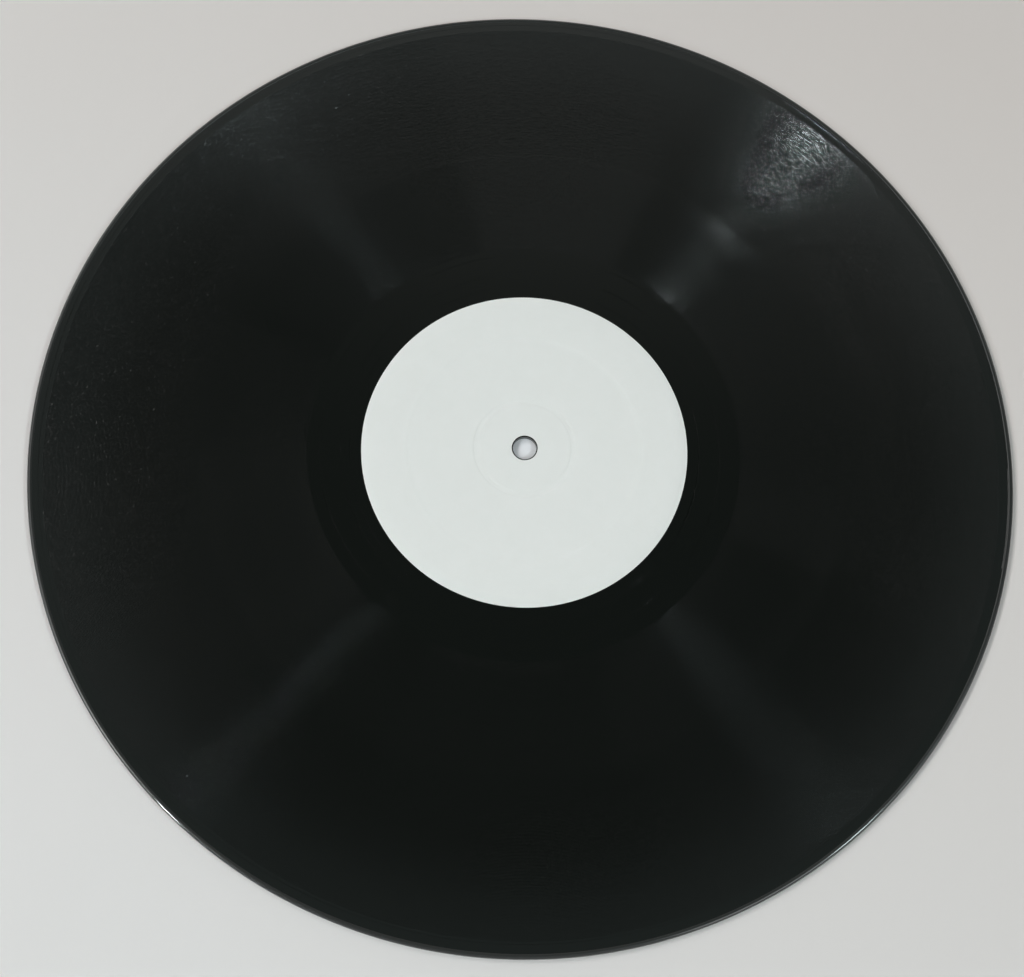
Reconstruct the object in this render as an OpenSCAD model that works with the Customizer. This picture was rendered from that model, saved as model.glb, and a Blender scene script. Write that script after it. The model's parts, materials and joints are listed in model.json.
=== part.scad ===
// Twelve inch vinyl record: one pressed disc with a paper label fused into each side.
// It lies on side B's label, with the spindle hole along Z and side A up.

/* [Disc] */
// Outer diameter of the disc
disc_d = 301.6; // [290:0.1:312]
// Thickness of the disc where the grooves are cut
land_t = 1.5; // [1.2:0.05:2]
// Height of the round bead on the rim over the grooved land, on each side
bead_rise = 0.2; // [0.1:0.05:0.4]

/* [Spindle hole] */
// Diameter of the hole for the turntable's spindle
hole_d = 7.24; // [7.1:0.01:7.6]
// Width and depth of the bevel that leads into the hole
hole_bevel = 0.15; // [0.05:0.01:0.25]

/* [Label] */
// Diameter of each paper label
label_d = 100; // [90:0.5:103]
// Thickness of the label paper
label_t = 0.12; // [0.08:0.01:0.2]
// Clearance between the paper and its seat in the vinyl
seat_gap = 0.02; // [0.01:0.01:0.05]
// Width of the bare vinyl lip between the spindle hole and the paper
lip_w = 0.35; // [0.3:0.05:1]
// Height of the label's raised ring over the grooved land, on each side
plateau_rise = 0.35; // [0.3:0.05:0.6]
// Width of the slope from the raised ring down to the edge of the label
edge_slope_w = 4; // [2:0.1:6]

/* [Pressed relief of the label] */
// Diameter of the sunk middle of the label
sunk_d = 70; // [60:0.5:78]
// Depth of the sunk middle below the raised ring
sunk_depth = 0.1; // [0.05:0.01:0.2]
// Width of the slope between the sunk middle and the raised ring
sunk_slope_w = 2; // [0.5:0.1:3]
// Diameter of the ring channel, along its middle
channel_d = 30; // [24:0.5:50]
// Width of the flat floor of the ring channel
channel_floor_w = 0.8; // [0.2:0.1:2]
// Width of each sloping side of the ring channel
channel_side_w = 0.7; // [0.3:0.1:2]
// Depth of the ring channel
channel_depth = 0.12; // [0.05:0.01:0.2]

/* [Grooves] */
// Width of a groove at its mouth
groove_w = 0.3; // [0.1:0.05:0.6]
// Depth of a groove
groove_depth = 0.1; // [0.05:0.01:0.2]
// How much narrower the spiral grooves are at the mouth than the rings that they run into
spiral_inset = 0.06; // [0.02:0.01:0.08]
// Spacing of the music grooves, which is rounded to fit each track
groove_pitch = 1.5; // [1:0.1:4]
// Bare vinyl between the edge of the label and the stop groove
stop_margin = 3.5; // [2:0.1:5]
// Run-out from the stop groove to the innermost music groove
run_out_w = 13; // [8:0.1:20]
// Turns of the run-out spiral
run_out_turns = 2; // [1:1:4]
// Lead-in from the outermost music groove to the foot of the rim bead
lead_in_w = 3.2; // [2:0.1:6]
// Turns of the lead-in spiral
lead_in_turns = 1; // [1:1:2]
// Bearing from +X at which the two spirals start and end
spiral_bearing = -8; // [-180:1:180]
// Diameter of the smooth gap between the two tracks, along its middle
gap_d = 200.1; // [160:0.1:260]
// Width of the smooth gap between the two tracks
gap_w = 1.2; // [0.5:0.1:4]

/* [Hidden] */
$fn = 180;

vinyl_color = [0.075, 0.085, 0.08];
paper_color = [0.86, 0.87, 0.86];

// Heights over the middle plane of the disc
land_z = land_t / 2;
plateau_z = land_z + plateau_rise;
sunk_z = plateau_z - sunk_depth;
channel_z = sunk_z - channel_depth;
// The record rests on the higher of its raised ring and its bead
middle_z = land_z + max(plateau_rise, bead_rise);

hole_r = hole_d / 2;
label_r = label_d / 2;
label_hole_r = hole_r + lip_w;
sunk_r = sunk_d / 2;
channel_r = channel_d / 2;
channel_floor_half = channel_floor_w / 2;
channel_half = channel_floor_half + channel_side_w;

// The bead is a round ring, and its foot is where it meets the land
bead_r = land_z + bead_rise;
bead_centre_r = disc_d / 2 - bead_r;
bead_foot_r = bead_centre_r - sqrt(bead_r * bead_r - land_z * land_z);

stop_r = label_r + stop_margin;
music_inner_r = stop_r + run_out_w;
music_outer_r = bead_foot_r - lead_in_w;
gap_inner_r = (gap_d - gap_w) / 2;
gap_outer_r = (gap_d + gap_w) / 2;
// The run-out leaves the second music groove, and the lead-in starts beside the bead
run_out_start_r = music_inner_r + track_pitch(music_inner_r, gap_inner_r);
lead_in_start_r = bead_foot_r - groove_w;
// A spiral groove has the slopes of the others, and its cutter clears the land by this much
spiral_w = groove_w - spiral_inset;
spiral_depth = groove_depth * spiral_w / groove_w;
cutter_rise = 0.05;

function reversed(points) = [for (i = [len(points) - 1 : -1 : 0]) points[i]];
function turned_over(points) = [for (p = points) [p[0], -p[1]]];

// Face of a label, or that outline lowered and grown, as its back and its seat take it
function label_face(lowered = 0, grown = 0) = [
    [label_hole_r - grown, sunk_z - lowered],
    [channel_r - channel_half, sunk_z - lowered],
    [channel_r - channel_floor_half, channel_z - lowered],
    [channel_r + channel_floor_half, channel_z - lowered],
    [channel_r + channel_half, sunk_z - lowered],
    [sunk_r, sunk_z - lowered],
    [sunk_r + sunk_slope_w, plateau_z - lowered],
    [label_r - edge_slope_w, plateau_z - lowered],
    [label_r + grown, land_z - lowered]
];

// Outline of a groove that is cut down from the height of its mouth
function vee(r, mouth_z, mouth_w, depth) =
    [[r - mouth_w / 2, mouth_z], [r, mouth_z - depth], [r + mouth_w / 2, mouth_z]];
function groove(r) = vee(r, land_z, groove_w, groove_depth);
function spiral_vee(r) =
    let (grown = 1 + cutter_rise / spiral_depth)
    vee(r, land_z + cutter_rise, spiral_w * grown, spiral_depth * grown);

// A track has a groove at each edge, and the others spread evenly between them
function track_steps(inner_r, outer_r) = round((outer_r - inner_r) / groove_pitch);
function track_pitch(inner_r, outer_r) = (outer_r - inner_r) / track_steps(inner_r, outer_r);
function track(inner_r, outer_r) = [
    for (i = [0 : track_steps(inner_r, outer_r)])
        each groove(inner_r + i * track_pitch(inner_r, outer_r))
];

// Face of the vinyl on one side, from the spindle hole out to the middle of the bead
function disc_face() = concat(
    [[hole_r, sunk_z - hole_bevel], [hole_r + hole_bevel, sunk_z]],
    [[label_hole_r - seat_gap, sunk_z]],
    label_face(label_t + seat_gap, seat_gap),
    [[label_r + seat_gap, land_z]],
    groove(stop_r),
    track(music_inner_r, gap_inner_r),
    track(gap_outer_r, music_outer_r),
    [[bead_centre_r, land_z]]
);

// Each half turn is centred a quarter of the pitch across from the one before it
module spiral_cutter(outer_r, inner_r, turns) {
    pitch = (outer_r - inner_r) / turns;
    for (i = [0 : 2 * turns - 1])
        rotate([0, 0, 180 * (i % 2)])
            translate([pitch / 4, 0, 0])
                rotate_extrude(angle = 180)
                    polygon(spiral_vee(outer_r - (2 * i + 1) * pitch / 4));
}

module side_spirals() {
    rotate([0, 0, spiral_bearing]) {
        spiral_cutter(lead_in_start_r, music_outer_r, lead_in_turns);
        spiral_cutter(run_out_start_r, stop_r, run_out_turns);
    }
}

// The pressed disc before its spiral grooves are cut
module blank() {
    rotate_extrude()
        polygon(concat(disc_face(), reversed(turned_over(disc_face()))));
    rotate_extrude()
        translate([bead_centre_r, 0])
            circle(bead_r);
}

module vinyl_disc() {
    color(vinyl_color)
        translate([0, 0, middle_z])
            difference() {
                blank();
                side_spirals();
                rotate([180, 0, 0])
                    side_spirals();
            }
}

module paper_label() {
    color(paper_color)
        rotate_extrude()
            polygon(concat(label_face(), reversed(label_face(label_t))));
}

module side_a_label() {
    translate([0, 0, middle_z])
        paper_label();
}

module side_b_label() {
    translate([0, 0, middle_z])
        rotate([180, 0, 0])
            paper_label();
}

vinyl_disc();
side_a_label();
side_b_label();
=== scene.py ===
import json
import math

import bpy
import numpy as np
from mathutils import Matrix, Vector


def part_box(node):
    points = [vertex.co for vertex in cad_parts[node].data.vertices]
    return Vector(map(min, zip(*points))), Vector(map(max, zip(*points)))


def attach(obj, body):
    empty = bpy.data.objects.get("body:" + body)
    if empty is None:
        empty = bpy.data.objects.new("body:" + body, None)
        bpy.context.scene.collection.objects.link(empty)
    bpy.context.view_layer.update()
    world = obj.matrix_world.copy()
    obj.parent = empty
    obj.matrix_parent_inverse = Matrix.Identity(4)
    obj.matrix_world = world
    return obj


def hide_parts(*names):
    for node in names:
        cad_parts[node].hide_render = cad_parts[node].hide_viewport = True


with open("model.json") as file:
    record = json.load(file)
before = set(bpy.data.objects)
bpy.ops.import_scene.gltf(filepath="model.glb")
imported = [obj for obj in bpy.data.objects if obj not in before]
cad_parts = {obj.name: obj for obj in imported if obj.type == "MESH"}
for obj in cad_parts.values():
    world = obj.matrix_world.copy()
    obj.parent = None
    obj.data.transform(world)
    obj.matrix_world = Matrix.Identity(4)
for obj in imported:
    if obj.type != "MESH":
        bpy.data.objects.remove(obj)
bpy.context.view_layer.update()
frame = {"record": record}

scene = bpy.context.scene
scene.view_settings.view_transform = "Standard"

# The camera
# A plain lens on a small camera, held over the near edge of the disc and leaning a little to
# one side. Its place, in mm, is measured from the middle of the grooved face.
MM = 0.001
disc_low, disc_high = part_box("vinyl_disc")
middle_z = (disc_low.z + disc_high.z) / 2
land_z = 1.5 * MM / 2

camera_data = bpy.data.cameras.new("camera")
camera_data.sensor_width = 36
camera_data.lens = 57.88
camera_data.clip_start = 0.01
camera = bpy.data.objects.new("camera", camera_data)
camera_place = Vector((-2.47, -160.18, 478.57))
camera.location = camera_place * MM + Vector((0, 0, middle_z + land_z))
camera_tilt = math.radians(17.06)
camera_lean = math.radians(6.47)
camera.rotation_euler = (
    Matrix.Rotation(camera_tilt, 3, "X") @ Matrix.Rotation(camera_lean, 3, "Z")
).to_euler()
scene.collection.objects.link(camera)
scene.camera = camera


# The grooved vinyl
# Black PVC, pressed hot between two stampers. Each side carries one unbroken V groove that
# winds in from the bead over two tracks and the gap between them, to the closed stop groove.
class Wire:
    """One output of a node. Python's operators on it add Math nodes to its tree."""

    def __init__(self, wiring, socket):
        self.wiring = wiring
        self.socket = socket

    def __add__(self, other):
        return self.wiring.math("ADD", self, other)

    def __radd__(self, other):
        return self.wiring.math("ADD", other, self)

    def __sub__(self, other):
        return self.wiring.math("SUBTRACT", self, other)

    def __rsub__(self, other):
        return self.wiring.math("SUBTRACT", other, self)

    def __mul__(self, other):
        return self.wiring.math("MULTIPLY", self, other)

    def __rmul__(self, other):
        return self.wiring.math("MULTIPLY", other, self)

    def __truediv__(self, other):
        return self.wiring.math("DIVIDE", self, other)

    def __floordiv__(self, other):
        return self.wiring.math("FLOOR", self / other)

    def __mod__(self, other):
        return self.wiring.math("MODULO", self, other)

    def __gt__(self, other):
        return self.wiring.math("GREATER_THAN", self, other)

    def __lt__(self, other):
        return self.wiring.math("LESS_THAN", self, other)


class Wiring:
    """A node tree that is being wired, of a material or of Geometry Nodes."""

    def __init__(self, tree):
        self.tree = tree

    def node(self, kind, settings=None, values=None):
        made = self.tree.nodes.new(kind)
        for name, value in (settings or {}).items():
            setattr(made, name, value)
        for name, value in (values or {}).items():
            if isinstance(value, Wire):
                self.tree.links.new(value.socket, made.inputs[name])
            else:
                made.inputs[name].default_value = value
        return made

    def wire(self, kind, settings=None, values=None, output=0):
        return Wire(self, self.node(kind, settings, values).outputs[output])

    def math(self, operation, *operands):
        return self.wire("ShaderNodeMath", {"operation": operation}, dict(enumerate(operands)))

    def mixed(self, share, near, far):
        """A colour between two colours."""
        values = {"Factor": share, 6: near, 7: far}
        return self.wire("ShaderNodeMix", {"data_type": "RGBA"}, values, 2)

    def eased(self, value, start, end):
        """A value's soft rise from 0 at the start to 1 at the end."""
        values = {"Value": value, "From Min": start, "From Max": end}
        return self.wire("ShaderNodeMapRange", {"interpolation_type": "SMOOTHSTEP"}, values)


def new_tree(name, sizes, outputs):
    """A Geometry Nodes tree with a named input for each size, and the wires of those inputs."""
    tree = bpy.data.node_groups.new(name, "GeometryNodeTree")
    for size, start in sizes.items():
        kind = "NodeSocketInt" if isinstance(start, int) else "NodeSocketFloat"
        socket = tree.interface.new_socket(name=size, in_out="INPUT", socket_type=kind)
        socket.default_value = start
    for output, kind in outputs.items():
        tree.interface.new_socket(name=output, in_out="OUTPUT", socket_type=kind)
    wiring = Wiring(tree)
    inputs = wiring.node("NodeGroupInput")
    return wiring, {size: Wire(wiring, inputs.outputs[size]) for size in sizes}


# Each stretch of the groove: its name, its turns and the width that they cross
groove_pitch = 0.4 * MM
groove_half_w = 0.135 * MM
bead_r = land_z + 0.2 * MM
bead_centre_r = disc_high.x - bead_r
bead_foot_r = bead_centre_r - math.sqrt(bead_r**2 - land_z**2)
label_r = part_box("side_a_label")[1].x
land_edge_r = label_r + 0.3 * MM
start_r = bead_foot_r - 0.3 * MM
music_outer_r = bead_foot_r - 3.2 * MM
gap_outer_r = 100.65 * MM
gap_inner_r = 99.45 * MM
stop_r = label_r + 3.5 * MM
music_inner_r = stop_r + 13 * MM
stretches = [
    ("Lead-in", 1, start_r - music_outer_r),
    ("Outer Track", round((music_outer_r - gap_outer_r) / groove_pitch), music_outer_r - gap_outer_r),
    ("Gap", 2, gap_outer_r - gap_inner_r),
    ("Inner Track", round((gap_inner_r - music_inner_r) / groove_pitch), gap_inner_r - music_inner_r),
    ("Run-out", 2, music_inner_r - stop_r),
    ("Stop Groove", 1, 0.0),
]
all_turns = sum(turns for name, turns, width in stretches)

# How loud the music is at some radii in mm, from 0 to 1. A loud groove is cut wider.
loudness = [
    (54, 0.1), (66, 0.15), (68, 0.5), (70, 0.2), (80, 0.2), (90, 0.25), (95, 0.45), (99, 0.5),
    (101, 0.15), (108, 0.15), (112, 0.25), (116.5, 0.5), (117.7, 0.4), (120.9, 0.7), (123, 0.4),
    (125.8, 0.62), (128, 0.45), (130.8, 0.7), (131.8, 0.55), (134.5, 0.8), (135.5, 0.62),
    (138, 0.9), (139.2, 0.7), (141, 0.95), (145.5, 1.0), (146.5, 0.1),
]

# How steep the groove's walls are at some radii in mm. A real cutter keeps them all at 1. These
# stand in for what the music does to them, and were set by the brightness of one streak.
wall_slopes = [
    (54, 1.05), (65, 1.05), (66.5, 0.94), (69, 0.935), (71, 0.965), (80, 0.988), (88, 1.014),
    (92, 1.008), (96, 0.996), (99.4, 0.992), (100.7, 1.05), (104, 1.06), (108, 1.07),
    (112, 1.067), (116, 1.038), (120, 1.022), (124, 1.025), (128, 1.041), (132, 1.043),
    (136, 1.027), (140, 1.033), (146.1, 1.026),
]


def groove_course():
    """The tree that gives the groove's radius, half width and wall slope after some turns."""
    sizes = {
        "Turn": 0.0,
        "Start Radius": start_r,
        "Half Width": groove_half_w,
        "Quiet Share": 0.7,
        "Lowest Slope": 0.9,
        "Highest Slope": 1.08,
    }
    for name, turns, width in stretches:
        sizes[name + " Turns"] = float(turns)
        sizes[name + " Pitch"] = width / turns
    outputs = {name: "NodeSocketFloat" for name in ("Radius", "Half Width", "Wall Slope")}
    wiring, size = new_tree("groove course", sizes, outputs)
    radius = size["Start Radius"]
    begun = 0.0
    for name, turns, width in stretches:
        done = wiring.math("MINIMUM", size["Turn"] - begun, size[name + " Turns"])
        radius = radius - wiring.math("MAXIMUM", done, 0.0) * size[name + " Pitch"]
        begun = size[name + " Turns"] + begun
    # Past its end the groove has no width, and lies on the inner edge of the stop groove
    ended = size["Turn"] > begun

    def by_radius(levels, lowest=0.0, highest=1.0):
        farthest = 160
        curve = wiring.node("ShaderNodeFloatCurve", None, {"Value": radius / (farthest * MM)})
        points = curve.mapping.curves[0].points
        span = highest - lowest
        places = [(place / farthest, (level - lowest) / span) for place, level in levels]
        for place, level in places[1:-1]:
            points.new(place, level)
        points[0].location = places[0]
        points[-1].location = places[-1]
        for point in points:
            point.handle_type = "VECTOR"
        curve.mapping.update()
        return Wire(wiring, curve.outputs["Value"])

    loud = by_radius(loudness)
    steep = by_radius(wall_slopes, sizes["Lowest Slope"], sizes["Highest Slope"])
    full_width = size["Half Width"] * (size["Quiet Share"] + loud * (1 - size["Quiet Share"]))
    grown = wiring.math("MINIMUM", full_width, size["Start Radius"] - radius)
    slope = size["Lowest Slope"] + steep * (size["Highest Slope"] - size["Lowest Slope"])
    wiring.node(
        "NodeGroupOutput",
        None,
        {
            "Radius": radius - ended * size["Half Width"],
            "Half Width": grown * (1 - ended),
            "Wall Slope": slope,
        },
    )
    return wiring.tree


def grooved_band_tree(material):
    """The tree that makes one closed ring of the disc, with both its grooved faces."""
    sizes = {
        "Outer Radius": start_r,
        "Inner Radius": stop_r,
        "First Turn": 0,
        "Turns": 10,
        "Segments": 288,
        "Bearing": math.radians(-8),
        "Shoulder Width": 0.18,
        "Shoulder Drop": 0.08,
        "Land Height": land_z,
        "Middle Height": middle_z,
    }
    wiring, size = new_tree("grooved band", sizes, {"Geometry": "NodeSocketGeometry"})
    course = groove_course()

    def groove_at(turn):
        made = wiring.node("GeometryNodeGroup", {"node_tree": course}, {"Turn": turn})
        return [Wire(wiring, made.outputs[name]) for name in ("Radius", "Half Width", "Wall Slope")]

    # Each turn has five rows of points on each side: the bottom, the tops of both walls and the
    # outer ends of both rounded shoulders. One more row lies on each border of the band.
    rows_each = 5
    side_rows = size["Turns"] * rows_each + 2
    columns = size["Segments"] + 1
    grid = wiring.node(
        "GeometryNodeMeshGrid", None, {"Vertices X": side_rows * 2 + 1, "Vertices Y": columns}
    )
    index = wiring.wire("GeometryNodeInputIndex")
    row = (index // columns) % (side_rows * 2)
    angle = (index % columns) * (2 * math.pi) / size["Segments"]
    below = row > side_rows - 0.5
    side = 1 - 2 * below
    row_inwards = row + below * (side_rows * 2 - 1 - 2 * row)
    turn_row = wiring.math("MINIMUM", row_inwards - 1, size["Turns"] * rows_each - 1)
    turn_row = wiring.math("MAXIMUM", turn_row, 0.0)
    across = 2 - turn_row % rows_each
    step = wiring.math("ABSOLUTE", across)
    border = (row_inwards > side_rows - 1.5) - (row_inwards < 0.5)

    # The lower side is the upper one turned over, so its groove winds the other way
    turned = (angle * side - size["Bearing"]) / (2 * math.pi) + below
    turn = size["First Turn"] + turn_row // rows_each + turned
    near = [groove_at(turn), groove_at(turn - 1), groove_at(turn + 1)]
    (radius, half, slope), (radius_before, half_before, _), (radius_after, half_after, _) = near
    shoulder = wiring.math("MAXIMUM", step - 1, 0.0) * size["Shoulder Width"]
    reach = half * (wiring.math("MINIMUM", step, 1.0) + shoulder)
    ridge_out = (radius_before - radius + half - half_before) / 2
    ridge_in = (radius - radius_after + half - half_after) / 2
    out = (across > 0.5) * wiring.math("MINIMUM", reach, ridge_out)
    into = (across < -0.5) * wiring.math("MINIMUM", reach, ridge_in)
    held = radius + out - into - border * size["Outer Radius"]
    held = wiring.math("MINIMUM", held, size["Outer Radius"])
    held = wiring.math("MAXIMUM", held, size["Inner Radius"])
    cut = 0.0
    for near_radius, near_half, near_slope in near:
        off = wiring.math("ABSOLUTE", held - near_radius)
        wall = (near_half - off) * near_slope + near_half * size["Shoulder Drop"]
        rounded = near_half * (size["Shoulder Width"] + 1) - off
        rounded = rounded * size["Shoulder Drop"] / size["Shoulder Width"]
        cut = wiring.math("MAXIMUM", cut, wiring.math("MAXIMUM", wall, rounded))
    height = (size["Land Height"] - cut) * side + size["Middle Height"]
    cosine = wiring.math("COSINE", angle)
    sine = wiring.math("SINE", angle)
    place = wiring.wire(
        "ShaderNodeCombineXYZ", None, {"X": held * cosine, "Y": held * sine, "Z": height}
    )
    flat = Wire(wiring, grid.outputs["Mesh"])
    placed = wiring.wire("GeometryNodeSetPosition", None, {"Geometry": flat, "Position": place})
    placed = wiring.wire("GeometryNodeFlipFaces", None, {"Mesh": placed})

    # A wall is flat up to its top, and a shoulder turns from there to the level of the land
    def on_corners(value, domain):
        settings = {"data_type": "FLOAT", "domain": domain}
        return wiring.wire("GeometryNodeFieldOnDomain", settings, {"Value": value})

    def parts(vector):
        made = wiring.node("ShaderNodeSeparateXYZ", None, {"Vector": vector})
        return [Wire(wiring, made.outputs[name]) for name in "XYZ"]

    wall_tilt = wiring.math("ARCTANGENT", slope)
    at_top = (step > 0.5) * (step < 1.5)
    tilt = wall_tilt * at_top * across * -1
    as_face = wiring.math("MAXIMUM", step < 0.5, wiring.math("ABSOLUTE", border))
    normal_x, normal_y, normal_z = parts(wiring.wire("GeometryNodeInputNormal"))
    centre_x, centre_y, _ = parts(wiring.wire("GeometryNodeInputPosition"))
    face_x = on_corners(normal_x, "FACE")
    face_y = on_corners(normal_y, "FACE")
    face_z = on_corners(normal_z, "FACE")
    middle_x = on_corners(centre_x, "FACE")
    middle_y = on_corners(centre_y, "FACE")
    middle_r = wiring.math("SQRT", middle_x * middle_x + middle_y * middle_y)
    face_out = (face_x * middle_x + face_y * middle_y) / middle_r
    own_out = on_corners(wiring.math("SINE", tilt), "POINT")
    own_up = on_corners(wiring.math("COSINE", tilt) * side, "POINT")
    share = on_corners(as_face, "POINT")
    outward = own_out + share * (face_out - own_out)
    upward = own_up + share * (face_z - own_up)
    corner_cosine = on_corners(cosine, "POINT")
    corner_sine = on_corners(sine, "POINT")
    corner_normal = wiring.wire(
        "ShaderNodeCombineXYZ",
        None,
        {"X": outward * corner_cosine, "Y": outward * corner_sine, "Z": upward},
    )
    settings = {"mode": "FREE", "domain": "CORNER"}
    shaded = wiring.wire(
        "GeometryNodeSetMeshNormal", settings, {"Mesh": placed, "Custom Normal": corner_normal}
    )
    joined = {"Geometry": shaded, "Distance": 0.001 * MM}
    merged = wiring.wire("GeometryNodeMergeByDistance", None, joined)
    real = wiring.wire("GeometryNodeRealizeInstances", None, {"Geometry": merged})
    done = wiring.wire("GeometryNodeSetMaterial", None, {"Geometry": real, "Material": material})
    wiring.node("NodeGroupOutput", None, {"Geometry": done})
    return wiring.tree


def finished_mesh(name, tree, sizes):
    """Runs a Geometry Nodes tree with these sizes and returns its result as a plain mesh piece."""
    blank = bpy.data.objects.new(name + "_blank", bpy.data.meshes.new(name + "_blank"))
    scene.collection.objects.link(blank)
    nodes = blank.modifiers.new("nodes", "NODES")
    nodes.node_group = tree
    for item in tree.interface.items_tree:
        if item.in_out == "INPUT" and item.name in sizes:
            nodes[item.identifier] = sizes[item.name]
    evaluated = blank.evaluated_get(bpy.context.evaluated_depsgraph_get())
    mesh = bpy.data.meshes.new_from_object(evaluated)
    mesh.name = name
    bpy.data.objects.remove(blank)
    mesh.polygons.foreach_set("use_smooth", [True] * len(mesh.polygons))
    mesh.set_sharp_from_angle(angle=math.radians(60))
    piece = bpy.data.objects.new(name, mesh)
    scene.collection.objects.link(piece)
    return piece


def vinyl_material(name, roughness):
    """Black vinyl, a little lighter towards its edge, and its x, y and radius in mm."""
    material = bpy.data.materials.new(name)
    material.use_nodes = True
    wiring = Wiring(material.node_tree)
    place = Wire(wiring, wiring.node("ShaderNodeTexCoord").outputs["Object"])
    parts = wiring.node("ShaderNodeSeparateXYZ", None, {"Vector": place})
    x = Wire(wiring, parts.outputs["X"]) / MM
    y = Wire(wiring, parts.outputs["Y"]) / MM
    radius = wiring.math("SQRT", x * x + y * y)
    black = (0.0036, 0.0050, 0.0040, 1)
    grey = (0.0105, 0.0130, 0.0120, 1)
    colour = wiring.mixed(wiring.eased(radius, 116.0, 150.0), black, grey)
    shader = material.node_tree.nodes["Principled BSDF"]
    material.node_tree.links.new(colour.socket, shader.inputs["Base Color"])
    shader.inputs["Roughness"].default_value = roughness
    shader.inputs["IOR"].default_value = 1.54
    return material, wiring, (x, y, radius)


def grooved_vinyl_material():
    """Vinyl whose groove walls sway with the music, and flash here and there along a turn."""
    material, wiring, (x, y, radius) = vinyl_material("grooved vinyl", 0.13)

    # A ripple's length along the turn is stated at this radius. All of this is in mm.
    stated_radius = 120

    def ripple(length, width, seed):
        around = stated_radius / length
        place = wiring.wire(
            "ShaderNodeCombineXYZ",
            None,
            {"X": x / radius * around + seed, "Y": y / radius * around, "Z": radius / width},
        )
        values = {"Vector": place, "Scale": 1.0, "Detail": 1.0, "Roughness": 0.6}
        return wiring.wire("ShaderNodeTexNoise", {"noise_dimensions": "3D"}, values)

    def ramp(start, end):
        values = {"Value": radius, "From Min": start, "From Max": end}
        return wiring.wire("ShaderNodeMapRange", None, values)

    # The walls of the outer track sway more, and only the peaks of the shorter ripple flash
    flash_level = 0.6
    flash_height = 2.5
    sway = ripple(length=2.4, width=0.65, seed=0.0)
    short_ripple = ripple(length=0.9, width=0.65, seed=31.7)
    burst = wiring.math("MAXIMUM", short_ripple - flash_level, 0.0)
    outer = ramp(96, 112)
    in_music = ramp(66.2, 67.2) * ramp(146.6, 146.0)
    loud = in_music * (0.35 + 0.65 * outer)
    bump = wiring.wire(
        "ShaderNodeBump",
        None,
        {"Strength": loud, "Distance": 0.06 * MM, "Height": sway + burst * flash_height},
    )
    shader = material.node_tree.nodes["Principled BSDF"]
    material.node_tree.links.new(bump.socket, shader.inputs["Normal"])
    material.node_tree.links.new((0.15 + 0.035 * outer).socket, shader.inputs["Roughness"])
    return material


def course_radius(turn):
    radius, begun = start_r, 0
    for name, turns, width in stretches:
        radius -= width * min(max(turn - begun, 0), turns) / turns
        begun += turns
    return radius


grooved_vinyl = grooved_vinyl_material()
band_tree = grooved_band_tree(grooved_vinyl)
band_turns = 34
band_count = math.ceil(all_turns / band_turns)
for number in range(band_count):
    first = number * band_turns
    last = min(first + band_turns, all_turns)
    band = finished_mesh(
        f"grooved_band_{number + 1}",
        band_tree,
        {
            "Outer Radius": bead_foot_r if number == 0 else course_radius(first),
            "Inner Radius": land_edge_r if last == all_turns else course_radius(last),
            "First Turn": first - 1,
            "Turns": last - first + 2,
        },
    )
    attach(band, "root")
    if number == 0:
        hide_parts("vinyl_disc")


# The rim bead
# The same vinyl, left round where the halves of the press meet. Its outer shoulder is trimmed
# and polished to a narrow, flatter band. It keeps the grooves off whatever they are laid on.
def turned_piece(name, outline, segments, material):
    """A solid of revolution about Z, from a closed outline of (radius, height) points."""
    points = np.array(outline)
    angles = np.arange(segments) * 2 * math.pi / segments
    across = points[:, 0]
    places = np.empty((segments, len(points), 3))
    places[..., 0] = np.cos(angles)[:, None] * across
    places[..., 1] = np.sin(angles)[:, None] * across
    places[..., 2] = points[:, 1]
    count = len(points)
    faces = []
    for s in range(segments):
        near, far = s * count, (s + 1) % segments * count
        for p in range(count):
            q = (p + 1) % count
            faces.append((near + p, far + p, far + q, near + q))
    mesh = bpy.data.meshes.new(name)
    mesh.from_pydata(places.reshape(-1, 3), [], faces)
    mesh.materials.append(material)
    mesh.polygons.foreach_set("use_smooth", [True] * len(mesh.polygons))
    mesh.set_sharp_from_angle(angle=math.radians(30))
    piece = bpy.data.objects.new(name, mesh)
    scene.collection.objects.link(piece)
    return piece


trimmed_vinyl, trimmed_wiring, (_, _, rim_radius) = vinyl_material("trimmed vinyl", 0.42)
trimmed_shader = trimmed_vinyl.node_tree.nodes["Principled BSDF"]
polished = trimmed_wiring.eased(rim_radius, 149.95, 150.1)
trimmed_vinyl.node_tree.links.new(polished.socket, trimmed_shader.inputs["Coat Weight"])
trimmed_shader.inputs["Coat Roughness"].default_value = 0.07
foot_angle = math.asin(land_z / bead_r)
bead_points = 120
# The flatter band's middle and half width are in degrees, and 1 would make it quite flat
shoulder_tilt = 21
shoulder_half = 12
shoulder_flatness = 0.7
bead_outline = []
for p in range(bead_points + 1):
    turn = (math.pi - foot_angle) * (2 * p / bead_points - 1)
    tilt = math.degrees(math.pi / 2 - abs(turn))
    distance = bead_r
    if abs(tilt - shoulder_tilt) < shoulder_half:
        flat = bead_r * math.cos(math.radians(shoulder_half))
        flat /= math.cos(math.radians(tilt - shoulder_tilt))
        distance += (flat - bead_r) * shoulder_flatness
    out, up = distance * math.cos(turn), distance * math.sin(turn)
    bead_outline.append((bead_centre_r + out, middle_z + up))
bead = turned_piece("rim_bead", bead_outline, 720, trimmed_vinyl)
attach(bead, "root")


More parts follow.
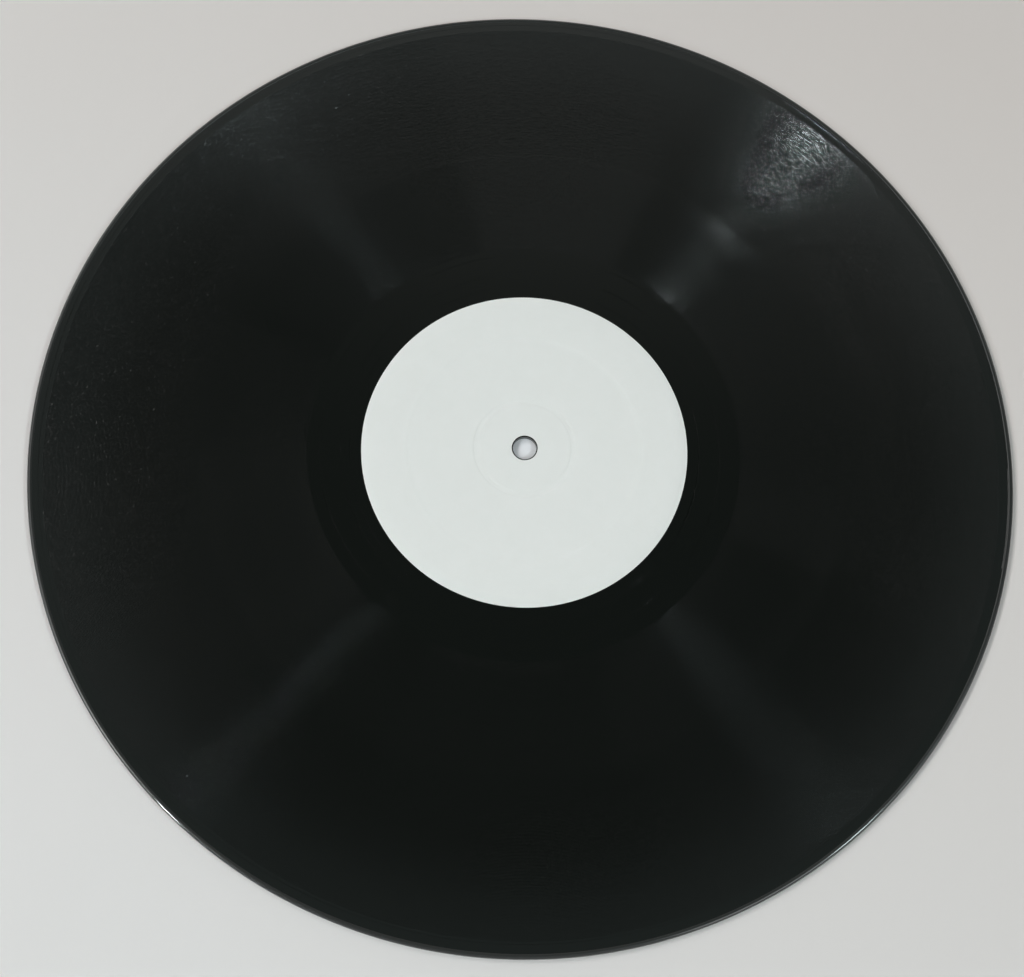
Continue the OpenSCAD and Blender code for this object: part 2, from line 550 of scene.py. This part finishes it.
# The middle of the disc
# Smooth vinyl around the spindle hole, with a shallow seat on each side that the label is
# pressed into.
smooth_vinyl = vinyl_material("smooth vinyl", 0.15)[0]
seat_gap = 0.02 * MM
label_t = 0.12 * MM
lip_w = 0.35 * MM
hole_bevel = 0.15 * MM
hole_r = frame["record"]["mounts"][0]["dims"]["r_mm"] * MM
plateau_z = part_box("side_a_label")[1].z - middle_z
sunk_z = plateau_z - 0.1 * MM
channel_z = sunk_z - 0.12 * MM
relief = [
    (hole_r + lip_w, sunk_z),
    (13.9 * MM, sunk_z),
    (14.6 * MM, channel_z),
    (15.4 * MM, channel_z),
    (16.1 * MM, sunk_z),
    (35.4 * MM, sunk_z),
    (36.6 * MM, plateau_z),
    (46 * MM, plateau_z),
    (label_r, land_z),
]


def label_relief(lowered, grown):
    """Outline of the label's face, lowered and grown. Its slopes start and end softly."""
    outline = []
    for (r, z), (next_r, next_z) in zip(relief, relief[1:]):
        steps = 10 if z != next_z else 2
        for s in range(steps):
            share = s / steps
            soft = share * share * (3 - 2 * share)
            if next_r == label_r:
                soft = share * share
            outline.append([r + (next_r - r) * share, z + (next_z - z) * soft - lowered])
    outline.append([label_r, land_z - lowered])
    outline[0][0] -= grown
    outline[-1][0] += grown
    return outline


middle_face = [[hole_r, sunk_z - hole_bevel], [hole_r + hole_bevel, sunk_z]]
middle_face.append([hole_r + lip_w - seat_gap, sunk_z])
middle_face += label_relief(label_t + seat_gap, seat_gap)
middle_face += [[label_r + seat_gap, land_z], [land_edge_r, land_z]]


def closed_outline(upper, lower):
    return [(r, middle_z + z) for r, z in reversed(upper)] + [(r, middle_z + z) for r, z in lower]


middle_outline = closed_outline(middle_face, [[r, -z] for r, z in middle_face])
disc_middle = turned_piece("disc_middle", middle_outline, 360, smooth_vinyl)
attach(disc_middle, "root")


# The labels
# Plain white uncoated paper, pressed into the vinyl of each side while it was hot, which gave
# it the relief of the stampers.
def paper_material():
    """White paper, a little cloudy, with the nap of its fibres."""
    material = bpy.data.materials.new("label paper")
    material.use_nodes = True
    wiring = Wiring(material.node_tree)
    place = Wire(wiring, wiring.node("ShaderNodeTexCoord").outputs["Object"])

    def cloud(size, detail):
        values = {"Vector": place, "Scale": 1 / size, "Detail": detail, "Roughness": 0.6}
        return wiring.wire("ShaderNodeTexNoise", {"noise_dimensions": "3D"}, values)

    clouds = cloud(5 * MM, 4.0)
    fibres = cloud(0.35 * MM, 3.0)
    dull = (0.825, 0.842, 0.818, 1)
    white = (0.885, 0.895, 0.882, 1)
    colour = wiring.mixed(clouds * 0.6 + fibres * 0.4, dull, white)
    nap_height = {"Strength": 1.0, "Distance": 0.012 * MM, "Height": fibres}
    nap = wiring.wire("ShaderNodeBump", None, nap_height)
    shader = material.node_tree.nodes["Principled BSDF"]
    material.node_tree.links.new(colour.socket, shader.inputs["Base Color"])
    material.node_tree.links.new(nap.socket, shader.inputs["Normal"])
    material.node_tree.links.new((0.62 + 0.16 * clouds).socket, shader.inputs["Roughness"])
    return material


label_paper = paper_material()
label_outline = closed_outline(label_relief(0, 0), label_relief(label_t, 0))
for side, name in ((1, "side_a_label"), (-1, "side_b_label")):
    outline = label_outline
    if side < 0:
        outline = [(r, 2 * middle_z - z) for r, z in reversed(label_outline)]
    label = turned_piece(name + "_paper", outline, 360, label_paper)
    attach(label, "root")
    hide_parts(name)


# The floor
# A sheet of pale card under the record. Its colour carries painted shade and a painted warm tint of
# light: darker and warmer towards the far corner, cooler on the near side. Under the spindle hole it
# is painted paler, as painted light. Far from the record it fades into the plain backdrop for the
# camera.
floor_mesh = bpy.data.meshes.new("floor")
floor_half = 3.0
corners = [(x * floor_half, y * floor_half, 0) for x, y in ((-1, -1), (1, -1), (1, 1), (-1, 1))]
floor_mesh.from_pydata(corners, [], [(0, 1, 2, 3)])
floor = bpy.data.objects.new("floor", floor_mesh)
scene.collection.objects.link(floor)
floor_material = bpy.data.materials.new("floor")
floor_material.use_nodes = True
card = Wiring(floor_material.node_tree)
card_place = Wire(card, card.node("ShaderNodeTexCoord").outputs["Object"])
card_parts = card.node("ShaderNodeSeparateXYZ", None, {"Vector": card_place})
across, towards = (Wire(card, card_parts.outputs[name]) for name in "XY")
# Painted shade and warm light: the card is painted darker and warmer towards the far corner
to_corner = {"Value": across * 0.5 + towards * 0.85, "From Min": -0.17, "From Max": 0.2}
painted_shade_to_corner = card.wire("ShaderNodeMapRange", None, to_corner)
near_card = (0.79, 0.77, 0.765, 1)
shaded_far_card = (0.735, 0.68, 0.653, 1)
length = card.node("ShaderNodeVectorMath", {"operation": "LENGTH"}, {0: card_place})
away = Wire(card, length.outputs["Value"])
# Painted light: the card under the spindle hole is painted paler and cooler, to brighten what shows
# through it
through_hole = {"Value": away, "From Min": 0.05, "From Max": 0.01}
painted_lit_card = (0.93, 0.94, 0.97, 1)
card_colour = card.mixed(
    card.wire("ShaderNodeMapRange", None, through_hole),
    card.mixed(painted_shade_to_corner, near_card, shaded_far_card),
    painted_lit_card,
)
card_shader = floor_material.node_tree.nodes["Principled BSDF"]
floor_material.node_tree.links.new(card_colour.socket, card_shader.inputs["Base Color"])
card_shader.inputs["Roughness"].default_value = 0.9
backdrop_colour = (0.60, 0.592, 0.585, 1)
seen = Wire(card, card.node("ShaderNodeLightPath").outputs["Is Camera Ray"])
faded = card.eased(away, 0.35, 1.4) * seen
plain = card.wire("ShaderNodeEmission", None, {"Color": backdrop_colour, "Strength": 1.0})
lit = Wire(card, card_shader.outputs["BSDF"])
both = card.wire("ShaderNodeMixShader", None, {0: faded, 1: lit, 2: plain})
floor_output = floor_material.node_tree.nodes["Material Output"]
floor_material.node_tree.links.new(both.socket, floor_output.inputs["Surface"])
floor_mesh.materials.append(floor_material)


# The lamps
# Two broad windows and the light of a pale room, with two small lamps that draw the narrow
# streaks across the grooves and the glints on the rim.
def lamp(name, bearing, rise, distance, size, power, colour):
    """A lamp that faces the record, with the given width and height."""
    data = bpy.data.lights.new(name, "AREA")
    data.shape = "ELLIPSE" if size[0] < 1 else "RECTANGLE"
    data.size, data.size_y = size
    data.energy = power
    data.color = colour
    made = bpy.data.objects.new(name, data)
    away = Vector((1, 0, 0))
    away.rotate(Matrix.Rotation(-math.radians(rise), 3, "Y"))
    away.rotate(Matrix.Rotation(math.radians(bearing), 3, "Z"))
    made.location = away * distance
    made.rotation_euler = away.to_track_quat("Z", "Y").to_euler()
    scene.collection.objects.link(made)


# Name, bearing and rise in degrees, distance and size in metres, watts and colour
lamp("window", 175, 48, 2.4, (2.4, 0.7), 29, (1, 0.995, 0.98))
lamp("right_window", 332, 50, 2.2, (1.6, 0.7), 8, (0.97, 0.99, 1))
lamp("left_lamp", 221.8, 34.6, 1.0, (0.06, 0.06), 1.5, (0.86, 0.98, 1))
lamp("right_lamp", 333, 43, 1.4, (0.18, 0.18), 3.0, (0.8, 0.98, 1))
lamp("ceiling_lamp", 262, 63, 2.0, (1.8, 0.8), 1.7, (1, 0.98, 0.93))
lamp("room_glow", 270, 32, 2.5, (2.0, 1.5), 2.8, (0.97, 0.99, 1))

# The room is dim on the near side and pale beyond the record. The camera sees the plain backdrop
# instead, and so does a shiny face that looks out low over the floor.
world = bpy.data.worlds.new("world")
scene.world = world
world.use_nodes = True
sky = Wiring(world.node_tree)
direction = Wire(sky, sky.node("ShaderNodeTexCoord").outputs["Generated"])
sky_parts = sky.node("ShaderNodeSeparateXYZ", None, {"Vector": direction})
near_room = (0.058, 0.062, 0.061, 1)
far_wall = (0.5, 0.5, 0.485, 1)
room = sky.mixed(sky.eased(Wire(sky, sky_parts.outputs["Y"]), 0.32, 0.62), near_room, far_wall)
low_down = sky.eased(Wire(sky, sky_parts.outputs["Z"]), 0.2, 0.1)
path = sky.node("ShaderNodeLightPath")
camera_ray, glossy_ray, clear_ray = (
    Wire(sky, path.outputs[name]) for name in ("Is Camera Ray", "Is Glossy Ray", "Is Transmission Ray")
)
mirrored = sky.math("MAXIMUM", glossy_ray, clear_ray) * low_down
backdrop = sky.math("MAXIMUM", camera_ray, mirrored)
shown = sky.mixed(backdrop, room, backdrop_colour)
world.node_tree.links.new(shown.socket, world.node_tree.nodes["Background"].inputs["Color"])
